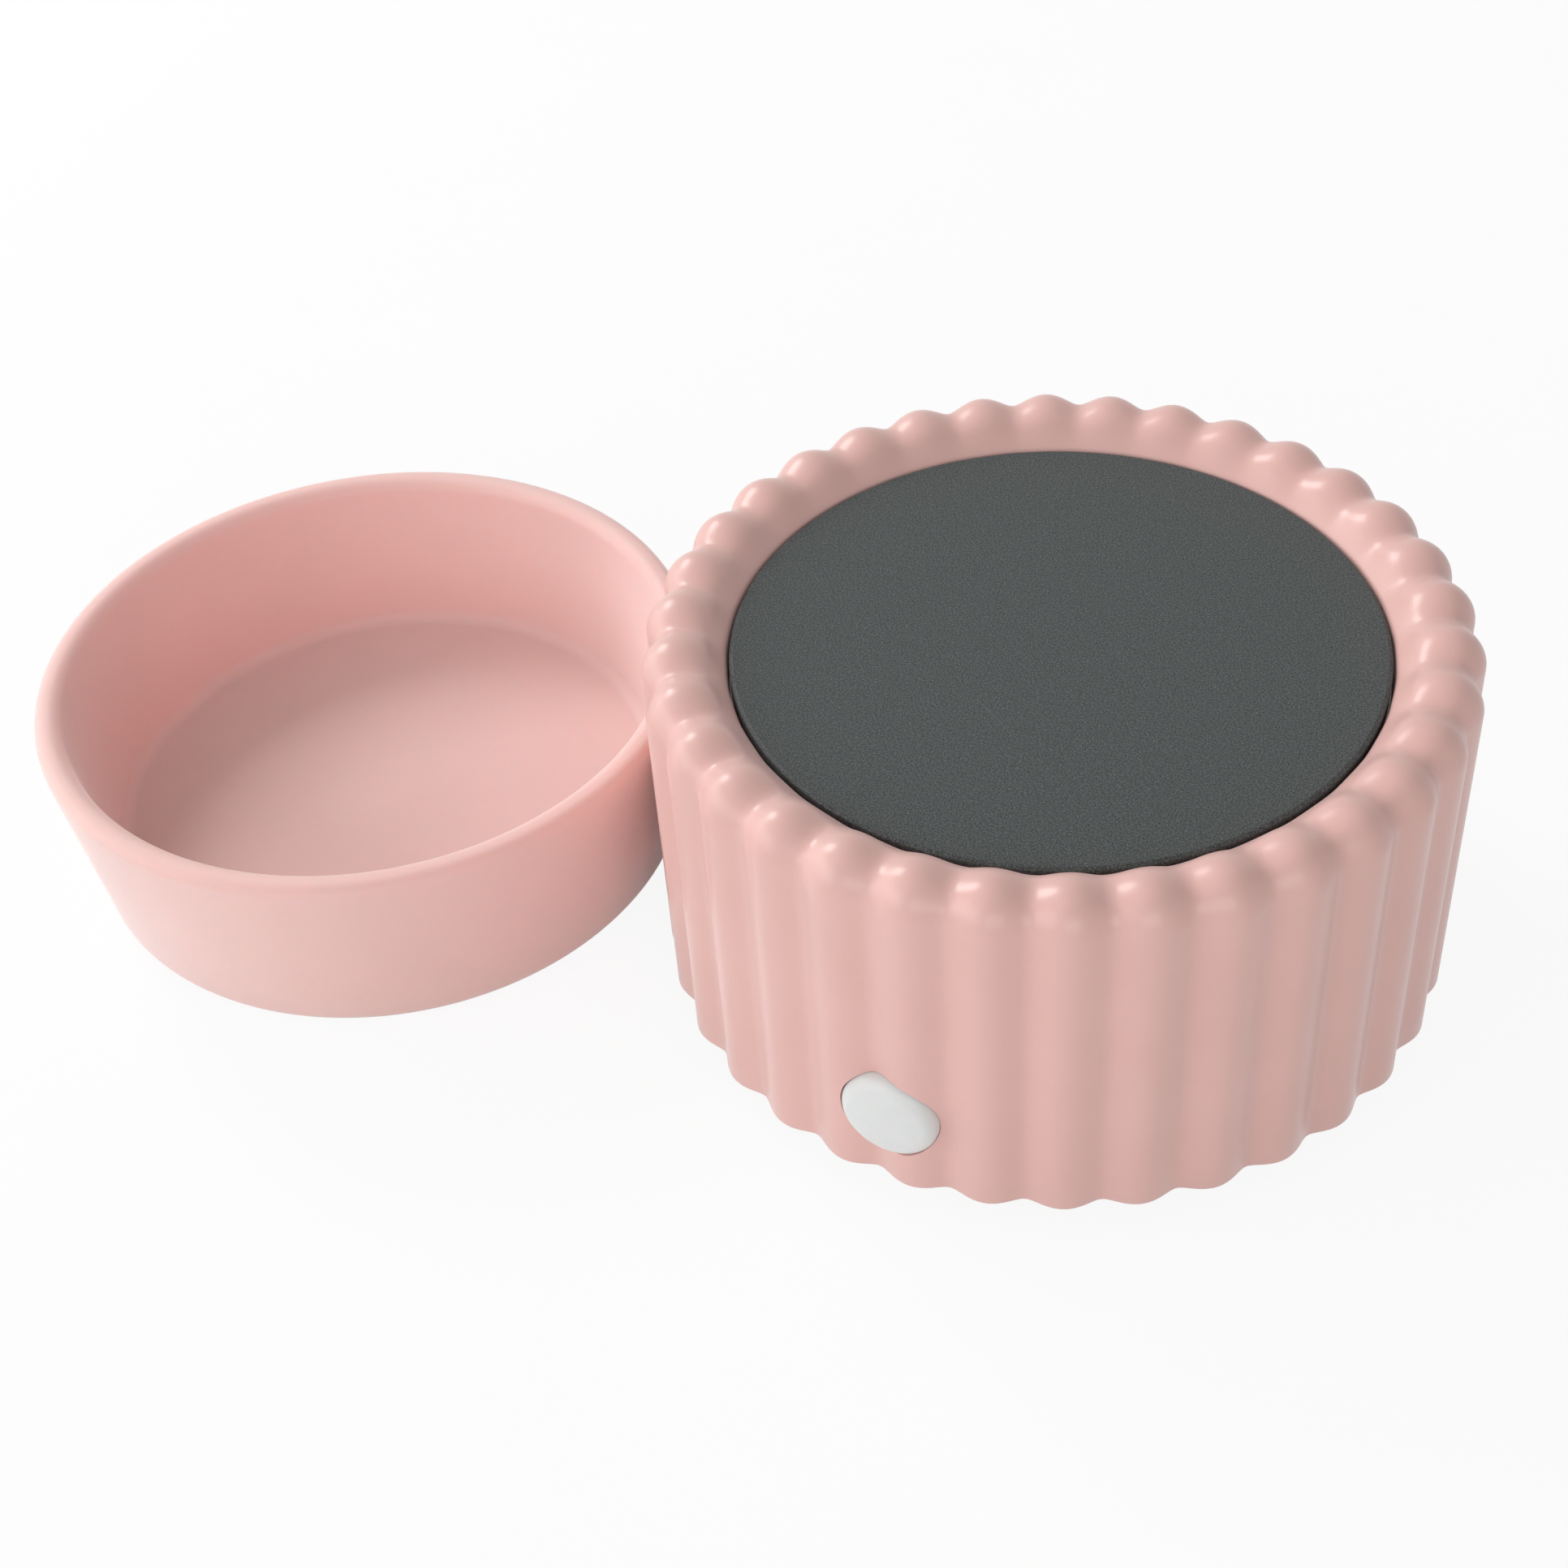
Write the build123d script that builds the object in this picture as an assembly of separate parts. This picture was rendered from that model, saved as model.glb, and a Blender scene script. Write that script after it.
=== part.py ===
from build123d import *
import math
import os

os.makedirs("parts", exist_ok=True)

# Ceramic body
crest_r = 59.8
rib_count = 34
rib_depth = 1.6
valley_soft = 0.35
valley_offset = -2.3
points_per_rib = 10
body_h = 58.35
body_wall = 4.8
rim_round = 4.5
rim_slope_start = 128.0
lip_land = 0.5
section_step = 1.9
foot_raise = 4.0

# Fits and clearances
thread_gap = 0.05
slip_gap = 0.4
seat_gap = 0.6
lead_hole_gap = 0.7
plate_gap = 0.7
ledge_w = 4.9
ledge_t = 4.75

# Heating plate stack
rim_band = 12.8
plate_t = 2.2
plate_drop = 4.0
plate_bevel = 0.5
gasket_w = 3.2
plate_gasket_t = 1.2
seat_gasket_t = 1.0
pan_t = 0.8
heater_inset = 3.4
heater_t = 1.6
insulation_t = 3.0
pressure_t = 1.0
pan_spare = 2.5
stud_r = 2.5
stud_tail = 2.0
nut_h = 4.0
nut_r = 4.6

# Bottom cover and feet
skirt_w = 2.4
cover_recess = 0.5
cover_t = 2.7
foot_r = 6.5
foot_stem_r = 2.5
foot_inset = 11.4
vent_r = 2.5
vent_circle_r = 19.0

# Pillars and screws
pillar_r = 4.0
pillar_inset = 8.2
pillar_angles = (0, 120, 240)
screw_r = 1.5
screw_head_r = 3.0
screw_head_h = 2.0
screw_bite = 8.0

# Push button and switch
button_z = 17.9
button_r = 7.3
button_proud = 0.3
button_travel = 1.5
button_edge = 0.9
button_flange_w = 1.3
button_flange_t = 1.2
plunger_r = 2.2
plunger_l = 9.0
switch_w = 15.0
switch_h = 12.0
switch_l = 15.0
switch_reach = 2.9
switch_screw_r = 1.25
switch_screw_x = 5.0
switch_screw_head_r = 2.3
switch_screw_head_h = 1.6

# Wiring
lead_r = 0.9
lead_bend = 2.5
lead_run = 24.0
lead_turn = 14.0
switch_tab_z = 3.0
heater_lead_reach = 11.0
heater_lead_y = 6.0
low_lead_drop = 17.0
thermostat_x = 6.0
thermostat_y = -14.0
thermostat_r = 8.0
thermostat_can_h = 5.0
thermostat_neck_r = 6.0
thermostat_neck_h = 2.5
tab_x = 4.0
tab_w = 0.8
tab_d = 4.0
tab_h = 5.0
fuse_r = 2.4
fuse_l = 11.0
fuse_reach = 9.0
terminal_gap = 0.5
terminal_y = 27.0
terminal_w = 17.0
terminal_d = 14.0
terminal_h = 11.0
pole_x = 4.0
pole_screw_y = 3.5
pole_screw_r = 1.8
pole_screw_h = 4.0

# Cord inlet
gland_z = 17.0
gland_bore_r = 2.7
gland_body_r = 5.0
gland_flange_r = 7.0
gland_flange_t = 2.0

# Wax dish
dish_rim_r = 53.2
dish_wall = 4.5
dish_h = 33.2
rim_roundness = 0.45
dish_foot_r = 48.8
dish_floor_t = 5.5
dish_edge = 2.4
dish_inner_round = 2.5
dish_gap = 0.4
dish_direction = -170.2

# Levels and radii that follow from the sizes above
edge_z = foot_raise
rim_r = crest_r - rim_round
rim_z = edge_z + body_h - rim_round
cavity_r = crest_r - rib_depth - body_wall
plate_r = crest_r - rim_band
lip_r = plate_r + plate_gap
ledge_r = lip_r - ledge_w
plate_top = edge_z + body_h - plate_drop
plate_low = plate_top - plate_t
flange_top = plate_low - plate_gasket_t
flange_low = flange_top - pan_t
ledge_top = flange_low - seat_gasket_t
heater_low = plate_low - heater_t
insulation_low = heater_low - insulation_t
pressure_low = insulation_low - pressure_t
pan_floor_top = pressure_low - nut_h - pan_spare
pan_floor_low = pan_floor_top - pan_t
pan_wall_r = ledge_r - seat_gap
heater_r = pan_wall_r - pan_t - heater_inset
pillar_circle_r = pan_wall_r - pillar_inset
flange_r = lip_r - seat_gap
skirt_r = crest_r - rib_depth - skirt_w
cover_r = skirt_r - slip_gap
foot_circle_r = cover_r - foot_inset
cover_low = edge_z + cover_recess
cover_top = cover_low + cover_t
button_flange_r = button_r + button_flange_w
button_face = -(crest_r + button_proud)
button_flange_front = -(math.sqrt(cavity_r ** 2 - button_flange_r ** 2) - seat_gap)
button_back = button_flange_front + button_flange_t
switch_front = button_back + switch_reach
switch_rear = switch_front + switch_l
switch_low = button_z - switch_h / 2
switch_top = button_z + switch_h / 2
low_lead_z = pan_floor_low - low_lead_drop
terminal_front = terminal_y - terminal_d / 2
terminal_lead_z = cover_top + terminal_h / 2
pillar_spots = [
    (pillar_circle_r * math.cos(math.radians(a)), pillar_circle_r * math.sin(math.radians(a)))
    for a in pillar_angles
]
terminal_x = pillar_spots[1][0] + pillar_r + terminal_gap + terminal_w / 2
supply_x = terminal_x - pole_x
return_x = terminal_x + pole_x
fuse_x = return_x + fuse_reach
heater_lead_x = fuse_x + heater_lead_reach
dish_reach = crest_r + dish_rim_r + dish_gap
dish_x = dish_reach * math.cos(math.radians(dish_direction))
dish_y = dish_reach * math.sin(math.radians(dish_direction))
gland_back = crest_r + slip_gap + gland_flange_t

# The origin lies on the table under the middle of the whole set
middle_x = (dish_x - dish_rim_r + crest_r) / 2
middle_y = (min(dish_y - dish_rim_r, button_face) + gland_back) / 2
place = Pos(-middle_x, -middle_y, 0)


def disc(r, low, high, x=0, y=0):
    bottom = (Align.CENTER, Align.CENTER, Align.MIN)
    return Pos(x, y, low) * Cylinder(r, high - low, align=bottom)


def ring(outer, inner, low, high):
    return disc(outer, low, high) - disc(inner, low, high)


def rod_y(r, start, end, z, x=0):
    return Pos(x, (start + end) / 2, z) * Rot(90, 0, 0) * Cylinder(r, end - start)


def block(x, y, low, width, depth, height):
    return Pos(x, y, low) * Box(width, depth, height, align=(Align.CENTER, Align.CENTER, Align.MIN))


def hex_nut(low, x=0, y=0):
    blank = Pos(x, y, low) * extrude(RegularPolygon(nut_r, 6), nut_h)
    return blank - disc(stud_r + thread_gap, low, low + nut_h, x, y)


def lead(*points):
    path = FilletPolyline(*points, radius=lead_bend)
    return sweep(Plane(path @ 0, z_dir=path % 0) * Circle(lead_r), path=path)


def rib_dip(angle):
    """Depth of the flutes round the wall: 0 on a rib's crest and 1 in a valley."""
    swell = abs(math.sin(rib_count * (angle - math.radians(valley_offset - 90)) / 2))
    top = math.hypot(1, valley_soft) - valley_soft
    return 1 - (math.hypot(swell, valley_soft) - valley_soft) / top


def fluted_ring(r, z, lean, depth):
    """Closed outline through the ribs, dipping along the surface normal at angle lean."""
    count = rib_count * points_per_rib
    points = []
    for i in range(count):
        angle = 2 * math.pi * i / count
        dip = depth * rib_dip(angle)
        reach = r - dip * math.cos(lean)
        points.append(Vector(reach * math.cos(angle), reach * math.sin(angle), z - dip * math.sin(lean)))
    return Wire([Edge.make_spline(points, periodic=True, parameters=[i / count for i in range(count + 1)])])


def fluted_body():
    """The outside of the ceramic: straight ribs that roll over the rim and fade towards the plate."""
    lean = math.radians(rim_slope_start)
    slope_r = rim_r + rim_round * math.cos(lean)
    slope_z = rim_z + rim_round * math.sin(lean)
    arc_l = rim_round * lean
    slope_l = (slope_r - lip_r - lip_land) / math.sin(lean)
    wall_count = round((rim_z - edge_z) / section_step)
    outlines = []
    for i in range(wall_count):
        z = edge_z + (rim_z - edge_z) * i / wall_count
        outlines.append(fluted_ring(crest_r, z, 0, rib_depth))
    arc_count = round(arc_l / section_step)
    for i in range(arc_count):
        turn = lean * i / arc_count
        fade = math.cos(math.pi / 2 * rim_round * turn / (arc_l + slope_l)) ** 1.2
        r = rim_r + rim_round * math.cos(turn)
        z = rim_z + rim_round * math.sin(turn)
        outlines.append(fluted_ring(r, z, turn, rib_depth * fade))
    slope_count = round(slope_l / section_step)
    for i in range(slope_count + 1):
        run = slope_l * i / slope_count
        fade = max(0, math.cos(math.pi / 2 * (arc_l + run) / (arc_l + slope_l))) ** 1.2
        r = slope_r - run * math.sin(lean)
        z = slope_z + run * math.cos(lean)
        outlines.append(fluted_ring(r, z, lean, rib_depth * fade))
    return Solid.make_loft(outlines)


# Housing: slip-cast ceramic with a ledge for the heating plate and a step for the cover
hollow = disc(skirt_r, edge_z - 1, cover_top) + disc(cavity_r, cover_top, ledge_top - ledge_t)
hollow += disc(ledge_r, ledge_top - ledge_t, ledge_top) + disc(lip_r, ledge_top, edge_z + body_h + 1)
housing = fluted_body() - hollow
housing -= rod_y(button_r + slip_gap, -crest_r - 5, -cavity_r + 8, button_z)
housing -= rod_y(gland_body_r + slip_gap, cavity_r - 8, crest_r + 5, gland_z)
export_step(place * housing, "parts/housing.step")

# Heating plate with its welded stud, gaskets and the pan that hangs on the ledge
heating_plate = disc(plate_r, plate_low, plate_top)
heating_plate = chamfer(heating_plate.edges().group_by(Axis.Z)[-1], plate_bevel)
export_step(place * heating_plate, "parts/heating_plate.step")

plate_stud = disc(stud_r, pan_floor_low - nut_h - stud_tail, plate_low)
export_step(place * plate_stud, "parts/plate_stud.step")

plate_gasket = ring(plate_r, plate_r - gasket_w, flange_top, plate_low)
export_step(place * plate_gasket, "parts/plate_gasket.step")

seat_gasket = ring(flange_r, ledge_r + slip_gap, ledge_top, flange_low)
export_step(place * seat_gasket, "parts/seat_gasket.step")

carrier_pan = ring(flange_r, pan_wall_r - pan_t, flange_low, flange_top)
carrier_pan += ring(pan_wall_r, pan_wall_r - pan_t, pan_floor_low, flange_top)
carrier_pan += disc(pan_wall_r, pan_floor_low, pan_floor_top)
carrier_pan -= disc(stud_r + thread_gap, pan_floor_low, pan_floor_top)
for x, y in pillar_spots:
    carrier_pan -= disc(screw_r + thread_gap, pan_floor_low, pan_floor_top, x, y)

# Heater sandwich under the plate
heater_disc = ring(heater_r, stud_r + slip_gap, heater_low, plate_low)
insulation_disc = ring(heater_r, stud_r + slip_gap, insulation_low, heater_low)
pressure_plate = ring(heater_r - 1, stud_r + slip_gap, pressure_low, insulation_low)
for y in (-heater_lead_y, heater_lead_y):
    lead_hole = disc(lead_r + lead_hole_gap, pan_floor_low - 1, heater_low, heater_lead_x, y)
    insulation_disc -= lead_hole
    pressure_plate -= lead_hole
    carrier_pan -= lead_hole
export_step(place * carrier_pan, "parts/carrier_pan.step")
export_step(place * heater_disc, "parts/heater_disc.step")
export_step(place * insulation_disc, "parts/insulation_disc.step")
export_step(place * pressure_plate, "parts/pressure_plate.step")
export_step(place * hex_nut(pressure_low - nut_h), "parts/heater_nut.step")
export_step(place * hex_nut(pan_floor_low - nut_h), "parts/pan_nut.step")

# Thermostat against the pan, and the thermal fuse in the heater's return lead
thermostat_low = pan_floor_low - thermostat_can_h - thermostat_neck_h
thermostat = disc(thermostat_r, pan_floor_low - thermostat_can_h, pan_floor_low, thermostat_x, thermostat_y)
thermostat += disc(thermostat_neck_r, thermostat_low, pan_floor_low, thermostat_x, thermostat_y)
for side in (-tab_x, tab_x):
    thermostat += block(thermostat_x + side, thermostat_y, thermostat_low - tab_h, tab_w, tab_d, tab_h + 1)
export_step(place * thermostat, "parts/thermostat.step")

thermal_fuse = Pos(fuse_x, heater_lead_y, low_lead_z) * Rot(0, 90, 0) * Cylinder(fuse_r, fuse_l)
export_step(place * thermal_fuse, "parts/thermal_fuse.step")

# Bottom cover with the moulded cradle for the switch, and vents
bottom_cover = disc(cover_r, cover_low, cover_top)
bottom_cover += block(0, (switch_front + switch_rear) / 2, cover_low, switch_w, switch_l, switch_low - cover_low)
foot_spots = [
    (foot_circle_r * math.cos(math.radians(a)), foot_circle_r * math.sin(math.radians(a)))
    for a in (45, 135, 225, 315)
]
for x, y in foot_spots:
    bottom_cover -= disc(foot_stem_r, cover_low, cover_top, x, y)
for x, y in pillar_spots:
    bottom_cover -= disc(screw_r + thread_gap, cover_low, cover_top, x, y)
for i in range(6):
    turn = math.radians(60 * i)
    vent_x = vent_circle_r * math.cos(turn)
    vent_y = vent_circle_r * math.sin(turn)
    bottom_cover -= disc(vent_r, cover_low, cover_top, vent_x, vent_y)
for x in (-switch_screw_x, switch_screw_x):
    screw_y = (switch_front + switch_rear) / 2
    bottom_cover -= disc(switch_screw_r + thread_gap, cover_top - 0.5, switch_low, x, screw_y)
export_step(place * bottom_cover, "parts/bottom_cover.step")

feet = []
for x, y in foot_spots:
    feet.append(disc(foot_r, 0, cover_low, x, y) + disc(foot_stem_r, cover_low, cover_top, x, y))
export_step(place * Compound(feet), "parts/feet.step")

# Pillars between the pan and the cover, with a screw at each end
pillars = []
pillar_screws = []
cover_screws = []
for x, y in pillar_spots:
    pillar = disc(pillar_r, cover_top, pan_floor_low, x, y)
    pillar -= disc(screw_r + thread_gap, cover_top, cover_top + screw_bite + 1, x, y)
    pillar -= disc(screw_r + thread_gap, pan_floor_low - screw_bite - 1, pan_floor_low, x, y)
    pillars.append(pillar)
    top_screw = disc(screw_r, pan_floor_low - screw_bite, pan_floor_top, x, y)
    top_screw += disc(screw_head_r, pan_floor_top, pan_floor_top + screw_head_h, x, y)
    pillar_screws.append(top_screw)
    low_screw = disc(screw_r, cover_low, cover_top + screw_bite, x, y)
    low_screw += disc(screw_head_r, cover_low - screw_head_h, cover_low, x, y)
    cover_screws.append(low_screw)
export_step(place * Compound(pillars), "parts/pillars.step")
export_step(place * Compound(pillar_screws), "parts/pillar_screws.step")
export_step(place * Compound(cover_screws), "parts/cover_screws.step")

# Push button: the cap and the plunger that slides in the switch
button_cap = rod_y(button_r, button_face, button_flange_front, button_z)
button_cap = fillet(button_cap.edges().group_by(Axis.Y)[0], button_edge)
button_cap += rod_y(button_flange_r, button_flange_front, button_back, button_z)
export_step(place * button_cap, "parts/button_cap.step")

switch_plunger = rod_y(plunger_r, button_back, button_back + plunger_l, button_z)
export_step(place * switch_plunger, "parts/switch_plunger.step")

switch_body = block(0, (switch_front + switch_rear) / 2, switch_low, switch_w, switch_l, switch_h)
bore_end = button_back + plunger_l + button_travel + slip_gap
switch_body -= rod_y(plunger_r + slip_gap, switch_front, bore_end, button_z)
switch_screws = []
for x in (-switch_screw_x, switch_screw_x):
    screw_y = (switch_front + switch_rear) / 2
    switch_body -= disc(switch_screw_r + thread_gap, switch_low, switch_top, x, screw_y)
    screw = disc(switch_screw_r, cover_top, switch_top, x, screw_y)
    screw += disc(switch_screw_head_r, switch_top, switch_top + switch_screw_head_h, x, screw_y)
    switch_screws.append(screw)
export_step(place * switch_body, "parts/switch_body.step")
export_step(place * Compound(switch_screws), "parts/switch_screws.step")

# Terminal block for the supply, with its clamping screws
terminal_block = block(terminal_x, terminal_y, cover_top, terminal_w, terminal_d, terminal_h)
terminal_screws = []
terminal_top = cover_top + terminal_h
for x in (supply_x, return_x):
    for y in (terminal_y - pole_screw_y, terminal_y + pole_screw_y):
        terminal_block -= disc(pole_screw_r + thread_gap, terminal_top - pole_screw_h, terminal_top, x, y)
        terminal_screws.append(disc(pole_screw_r, terminal_top - pole_screw_h, terminal_top - 0.5, x, y))
export_step(place * terminal_block, "parts/terminal_block.step")
export_step(place * Compound(terminal_screws), "parts/terminal_screws.step")

# Leads that stay inside the housing
tab_low = thermostat_low - tab_h
lead_supply = lead(
    (supply_x, terminal_front, terminal_lead_z),
    (supply_x, terminal_front - lead_run, terminal_lead_z),
    (-switch_screw_x, switch_rear + lead_turn, button_z - switch_tab_z),
    (-switch_screw_x, switch_rear, button_z - switch_tab_z),
)
export_step(place * lead_supply, "parts/lead_supply.step")
lead_switched = lead(
    (thermostat_x - tab_x, switch_rear, button_z + switch_tab_z),
    (thermostat_x - tab_x, thermostat_y, button_z + switch_tab_z),
    (thermostat_x - tab_x, thermostat_y, tab_low),
)
export_step(place * lead_switched, "parts/lead_switched.step")
lead_heater = lead(
    (thermostat_x + tab_x, thermostat_y, tab_low),
    (thermostat_x + tab_x, thermostat_y, low_lead_z),
    (heater_lead_x, -heater_lead_y, low_lead_z),
    (heater_lead_x, -heater_lead_y, heater_low),
)
export_step(place * lead_heater, "parts/lead_heater.step")
lead_fuse = lead(
    (heater_lead_x, heater_lead_y, heater_low),
    (heater_lead_x, heater_lead_y, low_lead_z),
    (fuse_x + fuse_l / 2, heater_lead_y, low_lead_z),
)
export_step(place * lead_fuse, "parts/lead_fuse.step")
lead_return = lead(
    (fuse_x - fuse_l / 2, heater_lead_y, low_lead_z),
    (return_x, heater_lead_y, low_lead_z),
    (return_x, heater_lead_y, terminal_lead_z),
    (return_x, terminal_front, terminal_lead_z),
)
export_step(place * lead_return, "parts/lead_return.step")

# Cord inlet: a rubber grommet in the back wall
cord_gland = rod_y(gland_body_r, cavity_r - 2 * gland_flange_t, crest_r + slip_gap, gland_z)
cord_gland += rod_y(gland_flange_r, crest_r + slip_gap, gland_back, gland_z)
cord_gland += rod_y(gland_flange_r, cavity_r - 2 * gland_flange_t, cavity_r - gland_flange_t, gland_z)
cord_gland = fillet(cord_gland.edges().group_by(Axis.Y)[-1], 0.6)
cord_gland -= rod_y(gland_bore_r, cavity_r - 3 * gland_flange_t, gland_back + gland_flange_t, gland_z)
export_step(place * cord_gland, "parts/cord_gland.step")

# Wax dish: moulded in one piece, standing beside the warmer
wall_lean = math.atan2(dish_rim_r - dish_foot_r, dish_h)
inner_foot_r = dish_foot_r - dish_wall + dish_floor_t * math.tan(wall_lean)
inner_rim_r = dish_rim_r - dish_wall
dish_outline = Polyline(
    (0, 0),
    (dish_foot_r, 0),
    (dish_rim_r, dish_h),
    (inner_rim_r, dish_h),
    (inner_foot_r, dish_floor_t),
    (0, dish_floor_t),
    (0, 0),
)
profile = make_face(Plane.XZ * dish_outline)
for corner_r, corner_z, radius in (
    (dish_foot_r, 0, dish_edge),
    (dish_rim_r, dish_h, dish_wall * rim_roundness),
    (inner_rim_r, dish_h, dish_wall * rim_roundness),
    (inner_foot_r, dish_floor_t, dish_inner_round),
):
    profile = fillet(profile.vertices().sort_by_distance((corner_r, 0, corner_z))[0], radius)
wax_dish = revolve(profile, Axis.Z)
export_step(place * Pos(dish_x, dish_y, 0) * wax_dish, "parts/wax_dish.step")
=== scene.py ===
import math
import bmesh
import bpy
from mathutils import Matrix, Vector


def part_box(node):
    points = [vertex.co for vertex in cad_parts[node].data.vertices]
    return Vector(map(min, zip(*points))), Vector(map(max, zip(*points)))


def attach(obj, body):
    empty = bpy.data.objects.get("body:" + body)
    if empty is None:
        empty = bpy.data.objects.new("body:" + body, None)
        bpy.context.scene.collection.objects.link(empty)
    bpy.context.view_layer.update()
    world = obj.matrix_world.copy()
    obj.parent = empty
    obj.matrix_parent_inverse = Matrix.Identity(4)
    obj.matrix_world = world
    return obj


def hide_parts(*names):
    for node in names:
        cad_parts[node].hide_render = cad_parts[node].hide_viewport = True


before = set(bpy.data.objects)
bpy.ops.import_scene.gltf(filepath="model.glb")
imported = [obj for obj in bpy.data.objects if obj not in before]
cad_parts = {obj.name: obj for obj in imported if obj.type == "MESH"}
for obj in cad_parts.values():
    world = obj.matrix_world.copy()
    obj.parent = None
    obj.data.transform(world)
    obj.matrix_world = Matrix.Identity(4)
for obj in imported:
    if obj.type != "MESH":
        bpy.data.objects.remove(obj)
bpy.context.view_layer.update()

# Ceramic housing: a slip-cast ring with soft upright flutes that roll over the rim and fade towards the plate.
# It is dipped in a pale pink satin glaze, which leaves a few iron specks.
# The underside is cut back for the cover, and holes are cut for the button and the cord inlet.
mm = 0.001
plate_low, plate_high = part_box("heating_plate")
axis_x = (plate_low[0] + plate_high[0]) / 2
axis_y = (plate_low[1] + plate_high[1]) / 2
plate_z = plate_high[2]
edge_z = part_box("housing")[0][2]
crest_r = 59.8 * mm
edge_round = 0.8 * mm
rim_top = edge_z + 58.85 * mm
rim_round = 5.6 * mm
rim_lean = math.radians(142)
rim_r = crest_r - rim_round
rim_z = rim_top - rim_round
lip_r = 47.3 * mm
lip_round = 0.5 * mm
ledge_r = 42.8 * mm
ledge_z = plate_z - 5.2 * mm
ledge_low = ledge_z - 4.75 * mm
cavity_r = 53.4 * mm
skirt_r = 55.8 * mm
cover_z = edge_z + 3.2 * mm
rib_count = 34
rib_depth = 1.6 * mm
rib_facets = 16
rib_trace = 0.05
rib_hold = 0.4
valley_soft = 0.35
valley_turn = math.radians(-92.3)
weld_gap = 1e-6
same_spot = 2e-5


def turned(outline, x, y, steps):
    """A bmesh of an outline of (radius, height) pairs turned about an upright axis."""
    bm = bmesh.new()
    points = [bm.verts.new((x + r, y, z)) for r, z in outline]
    runs = [bm.edges.new(pair) for pair in zip(points, points[1:])]
    bmesh.ops.spin(bm, geom=points + runs, cent=(x, y, 0), axis=(0, 0, 1), angle=2 * math.pi,
                   steps=steps, use_merge=True)
    bmesh.ops.remove_doubles(bm, verts=bm.verts, dist=weld_gap)
    bmesh.ops.recalc_face_normals(bm, faces=bm.faces)
    return bm


def ring_edges(bm, x, y, r, z):
    """The edges that run round the axis at one radius and height."""
    near = {v for v in bm.verts
            if abs(math.hypot(v.co.x - x, v.co.y - y) - r) < same_spot and abs(v.co.z - z) < same_spot}
    return [e for e in bm.edges if e.verts[0] in near and e.verts[1] in near]


def rounded(bm, edges, offset, segments):
    """The edges rounded off."""
    bmesh.ops.bevel(bm, geom=edges, offset=offset, offset_type="OFFSET", segments=segments,
                    profile=0.5, affect="EDGES", material=-1)


def round_ring(bm, x, y, r, z, offset, segments):
    """The ring of edges at one radius and height rounded off."""
    rounded(bm, ring_edges(bm, x, y, r, z), offset, segments)


def finished(name, bm, sharp=40):
    """The bmesh as a smooth-shaded object at the origin, with edges sharper than sharp degrees kept."""
    mesh = bpy.data.meshes.new(name)
    bm.to_mesh(mesh)
    bm.free()
    mesh.polygons.foreach_set("use_smooth", [True] * len(mesh.polygons))
    mesh.set_sharp_from_angle(angle=math.radians(sharp))
    piece = bpy.data.objects.new(name, mesh)
    bpy.context.scene.collection.objects.link(piece)
    return piece


def rise(edge):
    """The height that an edge climbs."""
    return abs(edge.verts[0].co.z - edge.verts[1].co.z)


slope_r = rim_r + rim_round * math.cos(rim_lean)
slope_z = rim_z + rim_round * math.sin(rim_lean)
rim_tangent = rim_round * math.tan(rim_lean / 4)
shoulder_z = rim_z + rim_tangent
crown_r = slope_r + rim_tangent * math.sin(rim_lean)
crown_z = slope_z - rim_tangent * math.cos(rim_lean)
lip_z = slope_z + (slope_r - lip_r) / math.tan(rim_lean)
housing_bm = turned(
    [(skirt_r, edge_z), (crest_r, edge_z), (crest_r, shoulder_z), (crown_r, crown_z), (lip_r, lip_z),
     (lip_r, ledge_z), (ledge_r, ledge_z), (ledge_r, ledge_low), (cavity_r, ledge_low),
     (cavity_r, cover_z), (skirt_r, cover_z), (skirt_r, edge_z)],
    axis_x, axis_y, steps=rib_count * rib_facets)
for r, z in ((crest_r, shoulder_z), (crown_r, crown_z)):
    round_ring(housing_bm, axis_x, axis_y, r, z, rim_tangent, segments=10)
bmesh.ops.remove_doubles(housing_bm, verts=housing_bm.verts, dist=same_spot)
round_ring(housing_bm, axis_x, axis_y, lip_r, lip_z, lip_round, segments=4)
round_ring(housing_bm, axis_x, axis_y, crest_r, edge_z, edge_round, segments=5)

outer_r = 57 * mm
slope_foot = lip_z - 1 * mm
slope_rise = 2 * mm
wall_rise = 40 * mm
slope_runs = [e for e in housing_bm.edges
              if rise(e) > slope_rise and min(v.co.z for v in e.verts) > slope_foot]
bmesh.ops.subdivide_edges(housing_bm, edges=slope_runs, cuts=8, use_grid_fill=True)
wall_runs = [e for e in housing_bm.edges
             if rise(e) > wall_rise
             and min(math.hypot(v.co.x - axis_x, v.co.y - axis_y) for v in e.verts) > outer_r]
bmesh.ops.subdivide_edges(housing_bm, edges=wall_runs, cuts=11, use_grid_fill=True)

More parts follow.
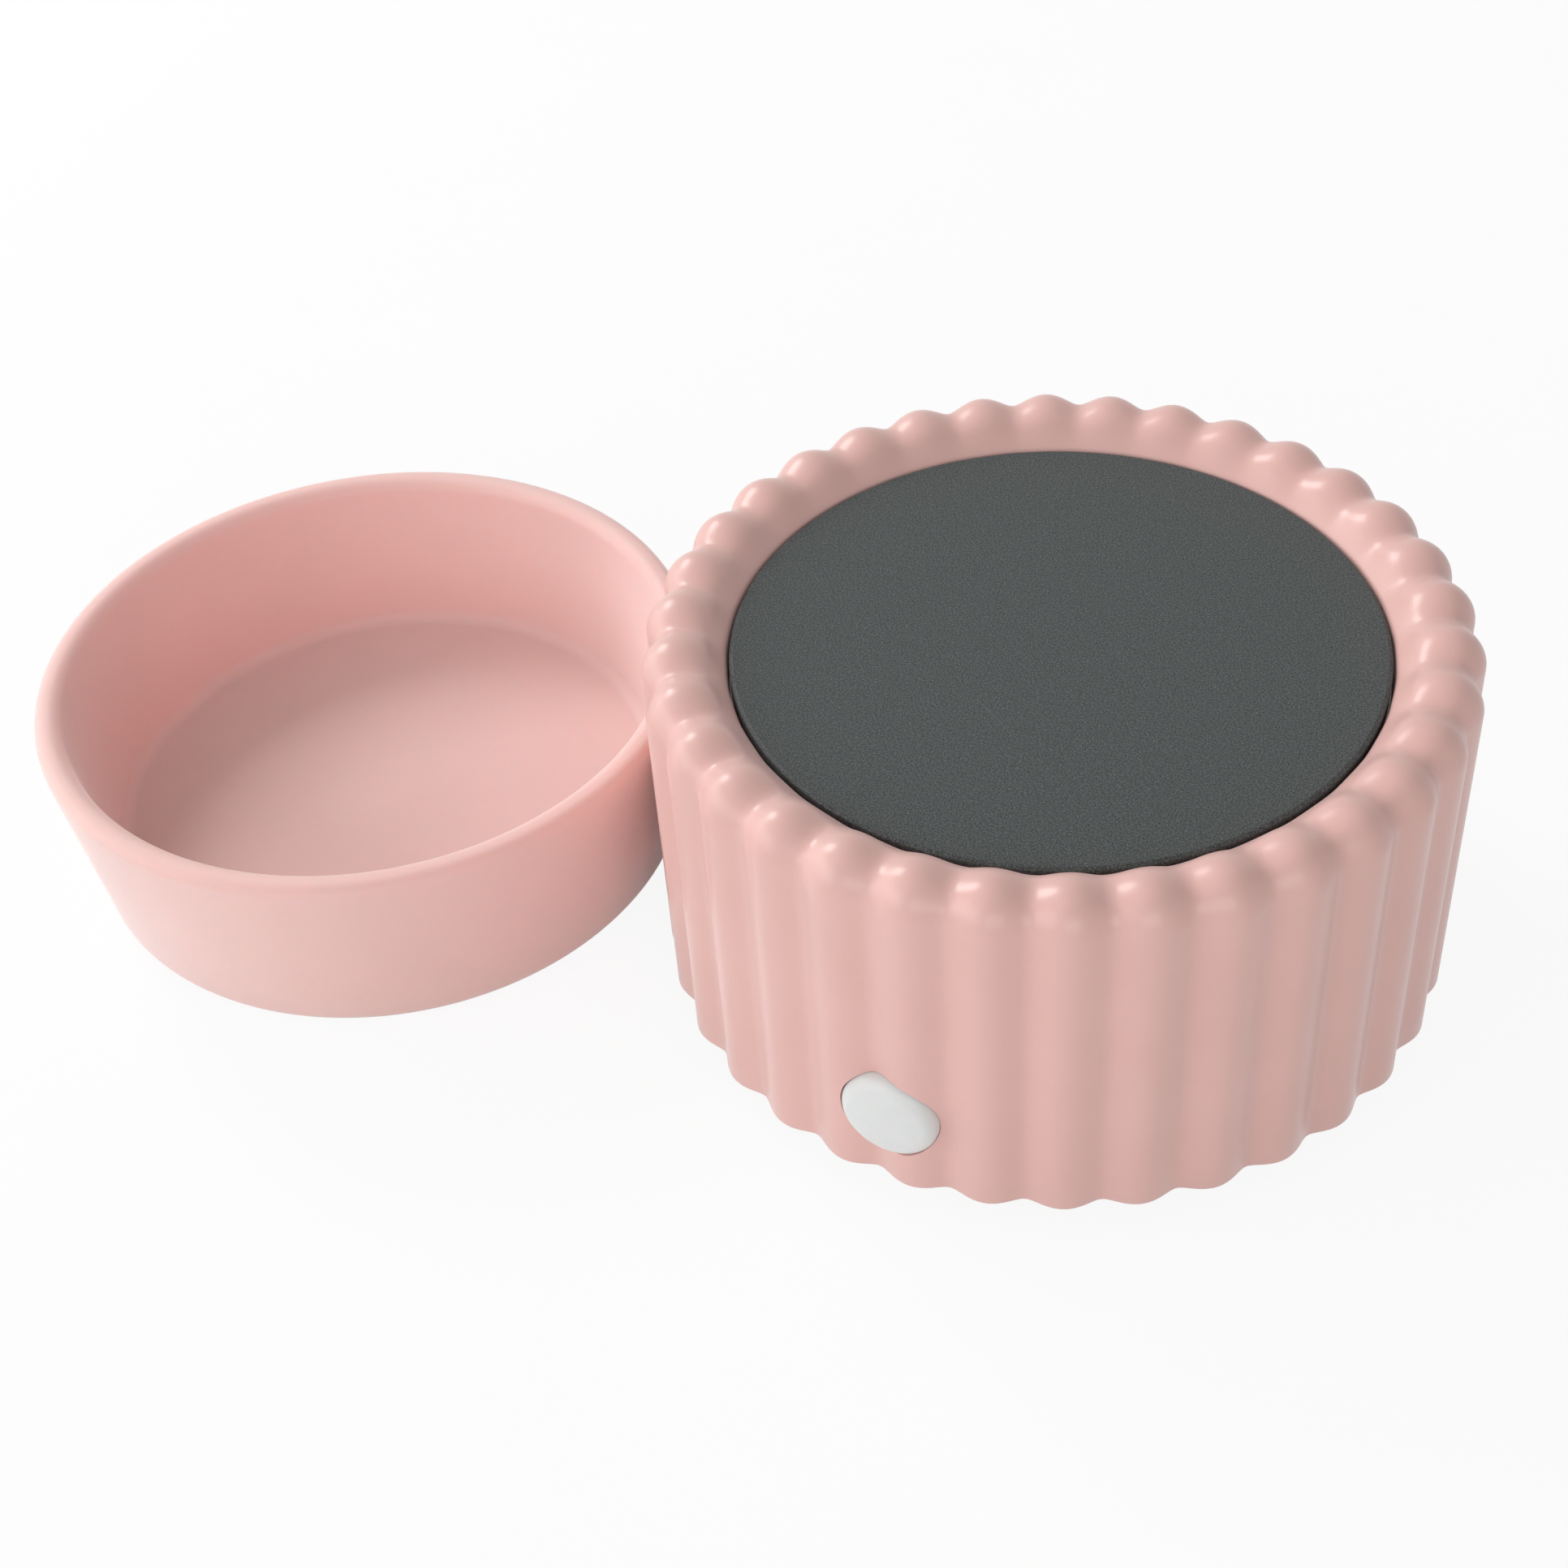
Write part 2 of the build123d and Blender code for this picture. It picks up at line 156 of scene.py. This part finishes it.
arc_l = rim_round * rim_lean
slope_l = (slope_r - lip_r) / math.sin(rim_lean)
under_lip = lip_z - 0.6 * mm
full_swell = math.hypot(1, valley_soft) - valley_soft
for v in housing_bm.verts:
    out = Vector((v.co.x - axis_x, v.co.y - axis_y, 0))
    r = out.length
    if v.co.z < under_lip and r < outer_r:
        continue
    turn = 0
    run = 0
    if r < slope_r:
        turn = rim_lean
        run = math.hypot(r - slope_r, v.co.z - slope_z)
    elif v.co.z > rim_z:
        turn = min(max(math.atan2(v.co.z - rim_z, r - rim_r), 0), rim_lean)
    along = (rim_round * turn + run) / (arc_l + slope_l)
    fade = 0.5 + 0.5 * math.cos(math.pi * min(max((along - rib_hold) / (1 - rib_hold), 0), 1))
    fade = rib_trace + (1 - rib_trace) * fade
    swell = abs(math.sin(rib_count * (math.atan2(out.y, out.x) - valley_turn) / 2))
    dip = rib_depth * fade * (1 - (math.hypot(swell, valley_soft) - valley_soft) / full_swell)
    out.normalize()
    v.co -= dip * (out * math.cos(turn) + Vector((0, 0, math.sin(turn))))
glaze_sharp = 50
housing = finished("housing_glazed", housing_bm, glaze_sharp)

button_low, button_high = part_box("button_cap")
gland_low, gland_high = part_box("cord_gland")
button_z = (button_low[2] + button_high[2]) / 2
gland_z = (gland_low[2] + gland_high[2]) / 2
button_hole_r = 7.38 * mm
gland_hole_r = 5.3 * mm
hole_depth = 24 * mm
hole_reach = 58 * mm
for name, hole_r, hole_z, side in (("button_hole", button_hole_r, button_z, -1),
                                   ("gland_hole", gland_hole_r, gland_z, 1)):
    cut = bmesh.new()
    bmesh.ops.create_cone(cut, cap_ends=True, segments=96, radius1=hole_r, radius2=hole_r, depth=hole_depth)
    bmesh.ops.rotate(cut, verts=cut.verts, matrix=Matrix.Rotation(math.pi / 2, 3, "X"))
    bmesh.ops.translate(cut, verts=cut.verts, vec=(axis_x, axis_y + side * hole_reach, hole_z))
    cutter = finished(name, cut)
    hole = housing.modifiers.new(name, "BOOLEAN")
    hole.object = cutter
    hole.operation = "DIFFERENCE"
    bored = bpy.data.meshes.new_from_object(housing.evaluated_get(bpy.context.evaluated_depsgraph_get()))
    housing.modifiers.clear()
    bored.set_sharp_from_angle(angle=math.radians(glaze_sharp))
    housing.data = bored
    bpy.data.objects.remove(cutter)


def finish_of(name, **sockets):
    """A new material with its shader's plain sockets set, its nodes, its linker and its object coordinates."""
    material = bpy.data.materials.new(name)
    material.use_nodes = True
    nodes = material.node_tree.nodes
    shader = nodes["Principled BSDF"]
    for socket, value in sockets.items():
        shader.inputs[socket.replace("_", " ")].default_value = value
    place = nodes.new("ShaderNodeTexCoord").outputs["Object"]
    return material, nodes, material.node_tree.links.new, shader, place


def grain(nodes, link, place, scale, detail=3.0, stretch=None):
    """Noise in object space, drawn out along the axes by stretch."""
    noise = nodes.new("ShaderNodeTexNoise")
    noise.inputs["Scale"].default_value = scale
    noise.inputs["Detail"].default_value = detail
    if stretch:
        drawn = nodes.new("ShaderNodeMapping")
        drawn.inputs["Scale"].default_value = stretch
        link(place, drawn.inputs["Vector"])
        place = drawn.outputs["Vector"]
    link(place, noise.inputs["Vector"])
    return noise.outputs["Fac"]


def between(nodes, link, value, stops):
    """A colour ramp on a value: stops of (position, colour)."""
    ramp = nodes.new("ShaderNodeValToRGB")
    while len(ramp.color_ramp.elements) < len(stops):
        ramp.color_ramp.elements.new(0.5)
    for element, (position, colour) in zip(ramp.color_ramp.elements, stops):
        element.position = position
        element.color = (*colour, 1)
    link(value, ramp.inputs["Fac"])
    return ramp.outputs["Color"]


def scaled(nodes, link, value, low, high, start=0.3, end=0.7):
    """A value that runs from start to end, made to run from low to high."""
    span = nodes.new("ShaderNodeMapRange")
    span.inputs["From Min"].default_value = start
    span.inputs["From Max"].default_value = end
    span.inputs["To Min"].default_value = low
    span.inputs["To Max"].default_value = high
    link(value, span.inputs["Value"])
    return span.outputs["Result"]


def dots(nodes, link, place, scale, size, share):
    """Round dots strewn over a share of the cells of a Voronoi pattern: 1 in a dot and 0 outside."""
    cells = nodes.new("ShaderNodeTexVoronoi")
    cells.inputs["Scale"].default_value = scale
    link(place, cells.inputs["Vector"])
    core = size * 0.6
    spot = scaled(nodes, link, cells.outputs["Distance"], 1, 0, core, size)
    parts = nodes.new("ShaderNodeSeparateColor")
    link(cells.outputs["Color"], parts.inputs["Color"])
    few = nodes.new("ShaderNodeMath")
    few.operation = "LESS_THAN"
    few.inputs[1].default_value = share
    link(parts.outputs[0], few.inputs[0])
    both = nodes.new("ShaderNodeMath")
    both.operation = "MULTIPLY"
    link(spot, both.inputs[0])
    link(few.outputs[0], both.inputs[1])
    return both.outputs[0]


def over(nodes, link, value, under, colour):
    """A colour laid over another where the value is 1."""
    mix = nodes.new("ShaderNodeMix")
    mix.data_type = "RGBA"
    for socket in mix.inputs:
        if socket.name == "B" and socket.type == "RGBA":
            socket.default_value = (*colour, 1)
        if socket.name == "A" and socket.type == "RGBA":
            link(under, socket)
    link(value, mix.inputs[0])
    return [socket for socket in mix.outputs if socket.type == "RGBA"][0]


def bumped(nodes, link, shader, heights):
    """Bumps laid on each other: pairs of a height and its depth in metres."""
    normal = None
    for height, depth in heights:
        bump = nodes.new("ShaderNodeBump")
        bump.inputs["Strength"].default_value = 1.0
        bump.inputs["Distance"].default_value = depth
        link(height, bump.inputs["Height"])
        if normal:
            link(normal, bump.inputs["Normal"])
        normal = bump.outputs["Normal"]
    link(normal, shader.inputs["Normal"])


def wear(piece, material):
    """The piece given one material all over."""
    piece.data.materials.clear()
    piece.data.materials.append(material)


glaze_deep = (0.705, 0.425, 0.385)
glaze_pale = (0.75, 0.465, 0.425)
iron_speck = (0.25, 0.13, 0.10)
glaze, nodes, link, shader, place = finish_of("pink_glaze", Roughness=0.3, Specular_IOR_Level=0.36,
                                              Sheen_Weight=0.15, Sheen_Roughness=0.4)
pink = between(nodes, link, grain(nodes, link, place, scale=70), [(0.1, glaze_deep), (0.9, glaze_pale)])
specks = dots(nodes, link, place, scale=260, size=0.028, share=0.03)
link(over(nodes, link, specks, pink, iron_speck), shader.inputs["Base Color"])
ripple_depth = 0.01 * mm
bumped(nodes, link, shader, [(grain(nodes, link, place, scale=110, detail=1), ripple_depth)])
wear(housing, glaze)
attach(housing, "base")
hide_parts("housing")

# Heating plate: a turned aluminium disc with a chamfered edge, under a fine charcoal non-stick coating.
# The coating holds tiny bright flakes, and use has left a few faint scratches on it.
# It is bolted down through its stud and stands a little above the lip of the ceramic.
plate_r = 47.0 * mm
plate_under = plate_z - 2.2 * mm
chamfer_z = plate_z - 0.3 * mm
chamfer_r = plate_r - 0.6 * mm
chamfer_round = 0.12 * mm
plate_bm = turned([(0, plate_under), (plate_r, plate_under), (plate_r, chamfer_z), (chamfer_r, plate_z),
                   (0, plate_z)], axis_x, axis_y, steps=224)
round_ring(plate_bm, axis_x, axis_y, plate_r, chamfer_z, chamfer_round, segments=3)
upright, level = 0.15, 0.95
for face in plate_bm.faces:
    face.normal_update()
    face.material_index = 1 if upright < face.normal.z < level else 0
plate = finished("heating_plate_coated", plate_bm, sharp=20)

grit_dark = (0.034, 0.038, 0.038)
grit_mid = (0.073, 0.081, 0.080)
grit_light = (0.140, 0.151, 0.149)
flake_grey = (0.17, 0.185, 0.185)
scratch_grey = (0.16, 0.17, 0.17)
coating, nodes, link, shader, place = finish_of("plate_coating", Specular_IOR_Level=0.15)
grit = grain(nodes, link, place, scale=4200, detail=2)
charcoal = between(nodes, link, grit, [(0.3, grit_dark), (0.5, grit_mid), (0.7, grit_light)])
flakes = dots(nodes, link, place, scale=2400, size=0.22, share=0.12)
charcoal = over(nodes, link, flakes, charcoal, flake_grey)
for sweep, heading in (((30, 2600, 30), 0.6), ((2400, 24, 24), 0.35)):
    swung = nodes.new("ShaderNodeMapping")
    swung.inputs["Rotation"].default_value = (0, 0, heading)
    link(place, swung.inputs["Vector"])
    streaks = grain(nodes, link, swung.outputs["Vector"], scale=1, detail=1, stretch=sweep)
    scratch = scaled(nodes, link, streaks, 0, 0.3, start=0.79, end=0.84)
    charcoal = over(nodes, link, scratch, charcoal, scratch_grey)
link(charcoal, shader.inputs["Base Color"])
link(scaled(nodes, link, grit, 0.42, 0.58), shader.inputs["Roughness"])
grit_depth = 0.02 * mm
bumped(nodes, link, shader, [(grit, grit_depth)])
wear(plate, coating)

edge_dark = (0.06, 0.066, 0.066)
edge_light = (0.11, 0.12, 0.12)
edge, nodes, link, shader, place = finish_of("plate_edge", Specular_IOR_Level=0.8)
link(between(nodes, link, grain(nodes, link, place, scale=900), [(0.3, edge_dark), (0.7, edge_light)]),
     shader.inputs["Base Color"])
link(scaled(nodes, link, grain(nodes, link, place, scale=2400), 0.24, 0.36), shader.inputs["Roughness"])
plate.data.materials.append(edge)
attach(plate, "base")
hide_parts("heating_plate")

# Push button: a milky moulded cap with a domed face and a well rounded edge, low on the front.
# It slides inwards on the switch's plunger, in a round hole cut through one flute and its valley.
button_r = 7.3 * mm
button_depth = 8.0 * mm
button_dome = [(button_r, 0.9 * mm), (5.2 * mm, 0.4 * mm), (2.8 * mm, 0.1 * mm), (0, 0)]
button_edge = 1.7 * mm
button_face = button_low[1] - 1.0 * mm
button_bm = turned([(0, button_depth), (button_r, button_depth)] + button_dome, 0, 0, steps=128)
round_ring(button_bm, 0, 0, *button_dome[0], button_edge, segments=12)
bmesh.ops.rotate(button_bm, verts=button_bm.verts, matrix=Matrix.Rotation(-math.pi / 2, 3, "X"))
bmesh.ops.translate(button_bm, verts=button_bm.verts, vec=(axis_x, button_face, button_z))
button = finished("button_cap_milky", button_bm)

milk_deep = (0.68, 0.70, 0.695)
milk_pale = (0.705, 0.725, 0.72)
dust = (0.45, 0.42, 0.40)
milky, nodes, link, shader, place = finish_of("button_white", Specular_IOR_Level=0.5,
                                              Subsurface_Weight=0.25, Subsurface_Scale=1.5 * mm)
white = between(nodes, link, grain(nodes, link, place, scale=300), [(0.3, milk_deep), (0.7, milk_pale)])
specks = dots(nodes, link, place, scale=700, size=0.05, share=0.06)
link(over(nodes, link, specks, white, dust), shader.inputs["Base Color"])
link(scaled(nodes, link, grain(nodes, link, place, scale=1800), 0.32, 0.42), shader.inputs["Roughness"])
mould_depth = 0.006 * mm
bumped(nodes, link, shader, [(grain(nodes, link, place, scale=1600), mould_depth)])
wear(button, milky)
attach(button, "button")
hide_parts("button_cap")

# Wax dish: a round bowl moulded in one piece from soft matt silicone, with a thick rounded rim and a flat floor.
# It lifts off the plate to let the wax pop out, and here it stands on the table beside the warmer.
dish_low, dish_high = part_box("wax_dish")
dish_x = (dish_low[0] + dish_high[0]) / 2
dish_y = (dish_low[1] + dish_high[1]) / 2
dish_h = dish_high[2]
dish_rim_r = 53.2 * mm
dish_foot_r = 48.8 * mm
dish_wall = 4.5 * mm
dish_floor = 5.5 * mm
dish_corner = 2.2 * mm
dish_lip = 2.0 * mm
inner_rim_r = dish_rim_r - dish_wall
inner_foot_r = dish_foot_r - dish_wall + dish_floor * (dish_rim_r - dish_foot_r) / dish_h
dish_bm = turned([(0, 0), (dish_foot_r, 0), (dish_rim_r, dish_h), (inner_rim_r, dish_h),
                  (inner_foot_r, dish_floor), (0, dish_floor)], dish_x, dish_y, steps=224)
round_ring(dish_bm, dish_x, dish_y, dish_foot_r, 0, dish_corner, segments=8)
round_ring(dish_bm, dish_x, dish_y, inner_foot_r, dish_floor, dish_corner, segments=8)
lip_edges = [e for r in (dish_rim_r, inner_rim_r) for e in ring_edges(dish_bm, dish_x, dish_y, r, dish_h)]
rounded(dish_bm, lip_edges, dish_lip, segments=10)
dish = finished("wax_dish_soft", dish_bm)

rose_deep = (0.76, 0.51, 0.475)
rose_pale = (0.82, 0.545, 0.51)
rose_speck = (0.35, 0.17, 0.14)
silicone, nodes, link, shader, place = finish_of(
    "pink_silicone", Specular_IOR_Level=0.3, Sheen_Weight=0.6, Sheen_Roughness=0.45,
    Subsurface_Weight=0.4, Subsurface_Scale=6 * mm, Subsurface_Radius=(1.0, 0.3, 0.2))
rose = between(nodes, link, grain(nodes, link, place, scale=55, detail=4), [(0.1, rose_deep), (0.9, rose_pale)])
specks = dots(nodes, link, place, scale=330, size=0.03, share=0.03)
link(over(nodes, link, specks, rose, rose_speck), shader.inputs["Base Color"])
link(scaled(nodes, link, grain(nodes, link, place, scale=900), 0.48, 0.6), shader.inputs["Roughness"])
mould_grain = grain(nodes, link, place, scale=420)
matt_skin = grain(nodes, link, place, scale=2600, detail=2)
bumped(nodes, link, shader, [(mould_grain, 0.03 * mm), (matt_skin, 0.01 * mm)])
wear(dish, silicone)
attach(dish, "dish")
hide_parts("wax_dish")

# Feet: four soft round pads of dark rubber, pushed through the cover by a stem.
# They hold the ceramic a few millimetres off the table.
feet_low, feet_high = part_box("feet")
foot_r = 6.5 * mm
foot_h = 4.5 * mm
sole_r = 4.6 * mm
sole_h = 0.9 * mm
sole_round = 0.8 * mm
stem_r = 2.5 * mm
stem_h = feet_high[2]
feet_bm = bmesh.new()
for x in (feet_low[0] + foot_r, feet_high[0] - foot_r):
    for y in (feet_low[1] + foot_r, feet_high[1] - foot_r):
        pad = turned([(0, 0), (sole_r, 0), (foot_r, sole_h), (foot_r, foot_h), (stem_r, foot_h),
                      (stem_r, stem_h), (0, stem_h)], x, y, steps=48)
        round_ring(pad, x, y, foot_r, sole_h, sole_round, segments=4)
        pad_mesh = bpy.data.meshes.new("foot_pad")
        pad.to_mesh(pad_mesh)
        pad.free()
        feet_bm.from_mesh(pad_mesh)
        bpy.data.meshes.remove(pad_mesh)
feet = finished("feet_rubber", feet_bm)


def coated(name, dark, light, roughness, fineness, relief, **sockets):
    """A moulded or plated surface whose tone, gloss and relief vary with a fine grain."""
    material, nodes, link, shader, place = finish_of(name, **sockets)
    clouds = grain(nodes, link, place, scale=fineness / 12)
    tone = between(nodes, link, clouds, [(0.3, dark), (0.7, light)])
    specks = dots(nodes, link, place, scale=fineness / 2, size=0.08, share=0.05)
    speck = [channel * 0.7 for channel in dark]
    link(over(nodes, link, specks, tone, speck), shader.inputs["Base Color"])
    fine = grain(nodes, link, place, scale=fineness, detail=4)
    swing = 0.06
    link(scaled(nodes, link, fine, roughness - swing, roughness + swing), shader.inputs["Roughness"])
    bumped(nodes, link, shader, [(fine, relief)])
    return material


wear(feet, coated("foot_rubber", dark=(0.035, 0.034, 0.033), light=(0.05, 0.049, 0.047),
                  roughness=0.75, fineness=1800, relief=0.03 * mm))
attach(feet, "base")
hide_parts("feet")

# Cord inlet: a pale rubber grommet with a rounded collar, pressed into the hole at the back.
# Its bore is sized for a round two-core supply cord.
bore_r = 2.7 * mm
neck_r = 5.0 * mm
collar_r = 7.0 * mm
collar_t = 2.0 * mm
collar_round = 0.9 * mm
bore_round = 0.5 * mm
gland_back = gland_high[1] - axis_y
gland_front = gland_low[1] - axis_y
gland_bm = turned([(bore_r, gland_front), (collar_r, gland_front), (collar_r, gland_front + collar_t),
                   (neck_r, gland_front + collar_t), (neck_r, gland_back - collar_t),
                   (collar_r, gland_back - collar_t), (collar_r, gland_back), (bore_r, gland_back),
                   (bore_r, gland_front)], 0, 0, steps=96)
round_ring(gland_bm, 0, 0, collar_r, gland_back, collar_round, segments=5)
round_ring(gland_bm, 0, 0, bore_r, gland_back, bore_round, segments=4)
bmesh.ops.rotate(gland_bm, verts=gland_bm.verts, matrix=Matrix.Rotation(-math.pi / 2, 3, "X"))
bmesh.ops.translate(gland_bm, verts=gland_bm.verts, vec=(axis_x, axis_y, gland_z))
gland = finished("cord_gland_rubber", gland_bm)
wear(gland, coated("gland_rubber", dark=(0.66, 0.645, 0.62), light=(0.71, 0.695, 0.67),
                   roughness=0.6, fineness=1800, relief=0.02 * mm))
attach(gland, "base")
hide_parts("cord_gland")

# Bottom cover: a moulded plastic disc in the recess under the ceramic, with vents and the cradle of the switch.
# Three screws draw it up against the pillars.
cover_plastic = coated("cover_plastic", dark=(0.70, 0.69, 0.67), light=(0.76, 0.75, 0.73),
                       roughness=0.55, fineness=1500, relief=0.03 * mm)
wear(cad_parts["bottom_cover"], cover_plastic)

# Fasteners and pillars: zinc-plated steel screws, nuts, the plate's stud, the pressure plate and three pillars.
# They tie the plate, the pan and the cover together.
zinc = coated("steel", dark=(0.50, 0.50, 0.51), light=(0.60, 0.60, 0.61),
              roughness=0.34, fineness=2600, relief=0.008 * mm, Metallic=1.0)
for name in ("plate_stud", "heater_nut", "pan_nut", "pressure_plate", "pillars", "pillar_screws", "cover_screws",
             "switch_screws"):
    wear(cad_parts[name], zinc)

# Carrier pan: a cup stamped from steel sheet that holds the heater under the plate.
# It hangs by its flange on the ledge inside the ceramic, and the pillars are screwed to it.
pan_steel = coated("pan_steel", dark=(0.42, 0.42, 0.43), light=(0.54, 0.54, 0.55),
                   roughness=0.42, fineness=1400, relief=0.01 * mm, Metallic=1.0)
wear(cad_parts["carrier_pan"], pan_steel)

# Gaskets: flat rings cut from red silicone sheet.
# One seals the plate to the pan and the other the pan's flange to the ceramic.
seal = coated("silicone", dark=(0.52, 0.16, 0.11), light=(0.60, 0.20, 0.14),
              roughness=0.6, fineness=1800, relief=0.01 * mm)
for name in ("plate_gasket", "seat_gasket"):
    wear(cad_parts[name], seal)

# Heater sandwich: a laminated mica disc that holds the winding, and a pad of pressed fibre under it.
# The pressure plate and its nut clamp both up against the underside of the plate.
mica = coated("mica", dark=(0.46, 0.40, 0.27), light=(0.60, 0.54, 0.40),
              roughness=0.45, fineness=900, relief=0.02 * mm)
wear(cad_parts["heater_disc"], mica)
fibre = coated("fibre", dark=(0.74, 0.71, 0.64), light=(0.84, 0.82, 0.76),
               roughness=0.9, fineness=2200, relief=0.06 * mm)
wear(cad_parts["insulation_disc"], fibre)

# Thermostat and thermal fuse: a disc thermostat in a black moulded case, fixed against the pan.
# The fuse is a drawn aluminium can in the return lead.
thermostat_case = coated("thermostat_plastic", dark=(0.03, 0.03, 0.03), light=(0.05, 0.05, 0.05),
                         roughness=0.5, fineness=1500, relief=0.02 * mm)
wear(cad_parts["thermostat"], thermostat_case)
fuse_can = coated("fuse_case", dark=(0.62, 0.62, 0.63), light=(0.74, 0.74, 0.75),
                  roughness=0.3, fineness=2600, relief=0.006 * mm, Metallic=1.0)
wear(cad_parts["thermal_fuse"], fuse_can)

# Push switch: a black moulded body, screwed to the cover's cradle with two screws.
# The plunger in it is moulded from the same plastic and carries the button.
switch_black = coated("switch_plastic", dark=(0.045, 0.045, 0.047), light=(0.065, 0.065, 0.068),
                      roughness=0.45, fineness=1500, relief=0.02 * mm)
for name in ("switch_body", "switch_plunger"):
    wear(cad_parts[name], switch_black)

# Terminal block: a pale moulded block on the cover, where the supply cord ends.
# Turned brass screws clamp the wires in it.
terminal_case = coated("terminal_plastic", dark=(0.78, 0.77, 0.73), light=(0.84, 0.83, 0.79),
                       roughness=0.3, fineness=1500, relief=0.01 * mm)
wear(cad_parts["terminal_block"], terminal_case)
brass = coated("brass", dark=(0.62, 0.42, 0.16), light=(0.74, 0.53, 0.24),
               roughness=0.3, fineness=2600, relief=0.006 * mm, Metallic=1.0)
wear(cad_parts["terminal_screws"], brass)

# Inner leads: stranded copper wires in brown, white and blue insulation.
# They run from the terminals to the switch, the thermostat, the heater and the fuse, and back.
for slot_name, dark, light, names in (
        ("lead_brown", (0.16, 0.06, 0.025), (0.21, 0.085, 0.035), ("lead_supply", "lead_switched")),
        ("lead_white", (0.76, 0.75, 0.72), (0.82, 0.81, 0.78), ("lead_heater", "lead_fuse")),
        ("lead_blue", (0.04, 0.10, 0.40), (0.06, 0.14, 0.48), ("lead_return",))):
    insulation = coated(slot_name, dark, light, roughness=0.5, fineness=2400, relief=0.01 * mm)
    for name in names:
        wear(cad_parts[name], insulation)

# Table: a wide sheet of matt white paper under the pieces.
# It shows nearly white in the picture and keeps the soft shadow of what stands on it.
floor_bm = bmesh.new()
bmesh.ops.create_grid(floor_bm, x_segments=1, y_segments=1, size=4)
floor = finished("floor", floor_bm)
paper_deep = (0.83, 0.83, 0.83)
paper_pale = (0.86, 0.86, 0.86)
paper_glow = 0.9
paper, nodes, link, shader, place = finish_of("white_paper", Specular_IOR_Level=0.1)
link(between(nodes, link, grain(nodes, link, place, scale=30), [(0.3, paper_deep), (0.7, paper_pale)]),
     shader.inputs["Base Color"])
link(scaled(nodes, link, grain(nodes, link, place, scale=900), 0.85, 0.95), shader.inputs["Roughness"])


def seen_directly(nodes, link):
    """1 for rays that show the backdrop itself: from the camera, in a reflection or through glass."""
    path = nodes.new("ShaderNodeLightPath")
    total = path.outputs["Is Camera Ray"]
    for ray in ("Is Glossy Ray", "Is Transmission Ray"):
        more = nodes.new("ShaderNodeMath")
        more.operation = "MAXIMUM"
        link(total, more.inputs[0])
        link(path.outputs[ray], more.inputs[1])
        total = more.outputs[0]
    return total


glow = nodes.new("ShaderNodeEmission")
glow.inputs["Strength"].default_value = 1.0
blend = nodes.new("ShaderNodeMixShader")
share = nodes.new("ShaderNodeMath")
share.operation = "MULTIPLY"
share.inputs[1].default_value = paper_glow
link(seen_directly(nodes, link), share.inputs[0])
link(share.outputs[0], blend.inputs["Fac"])
link(shader.outputs["BSDF"], blend.inputs[1])
link(glow.outputs["Emission"], blend.inputs[2])
link(blend.outputs["Shader"], nodes["Material Output"].inputs["Surface"])
wear(floor, paper)

# Light: an even white room, a high window on the left, a soft panel under it, one at the front left
# and a weak one at the front right.
world = bpy.data.worlds.new("studio")
bpy.context.scene.world = world
world.use_nodes = True
nodes = world.node_tree.nodes
link = world.node_tree.links.new
room = nodes["Background"]
room.inputs["Strength"].default_value = 0.43
room.inputs["Color"].default_value = (1, 1, 1, 1)
white_wall = nodes.new("ShaderNodeBackground")
white_wall.inputs["Strength"].default_value = 1.0
white_wall.inputs["Color"].default_value = (1, 1, 1, 1)
either = nodes.new("ShaderNodeMixShader")
link(seen_directly(nodes, link), either.inputs["Fac"])
link(room.outputs["Background"], either.inputs[1])
link(white_wall.outputs["Background"], either.inputs[2])
link(either.outputs["Shader"], nodes["World Output"].inputs["Surface"])


def softbox(name, spot, power, width, height):
    """A rectangular lamp turned towards the warmer."""
    aim = Vector((0, 0, 0.03))
    light = bpy.data.lights.new(name, "AREA")
    light.shape = "RECTANGLE"
    light.size = width
    light.size_y = height
    light.energy = power
    lamp = bpy.data.objects.new(name, light)
    lamp.location = spot
    lamp.rotation_euler = (aim - Vector(spot)).to_track_quat("-Z", "Y").to_euler()
    bpy.context.scene.collection.objects.link(lamp)


softbox("window", (-1.0, 0.38, 0.86), power=8.2, width=0.5, height=0.5)
softbox("left_panel", (-1.15, -0.1, 0.45), power=2.8, width=0.8, height=0.6)
softbox("front_panel", (-0.75, -0.95, 0.5), power=5.8, width=1.2, height=0.7)
softbox("right_panel", (0.6, -1.05, 0.5), power=4.0, width=1.0, height=0.6)

# Camera: above and to the right of the button, at the photograph's angle.
# Its place, lens and turns come from one fit to the outlines of the plate, the body, the button and the dish.
camera_spot = (axis_x + 0.10144, axis_y - 0.25730, 0.28373)
camera_heading = 0.5223
camera_dip = 0.7387
camera_roll = -0.0765
lens = bpy.data.cameras.new("photo_camera")
lens.sensor_width = 36
lens.lens = 56.896
lens.clip_start = 0.01
camera = bpy.data.objects.new("photo_camera", lens)
camera.matrix_world = (Matrix.Translation(camera_spot) @ Matrix.Rotation(camera_heading, 4, "Z")
                       @ Matrix.Rotation(math.pi / 2 - camera_dip, 4, "X") @ Matrix.Rotation(camera_roll, 4, "Z"))
bpy.context.scene.collection.objects.link(camera)
bpy.context.scene.camera = camera
bpy.context.scene.view_settings.view_transform = "Standard"
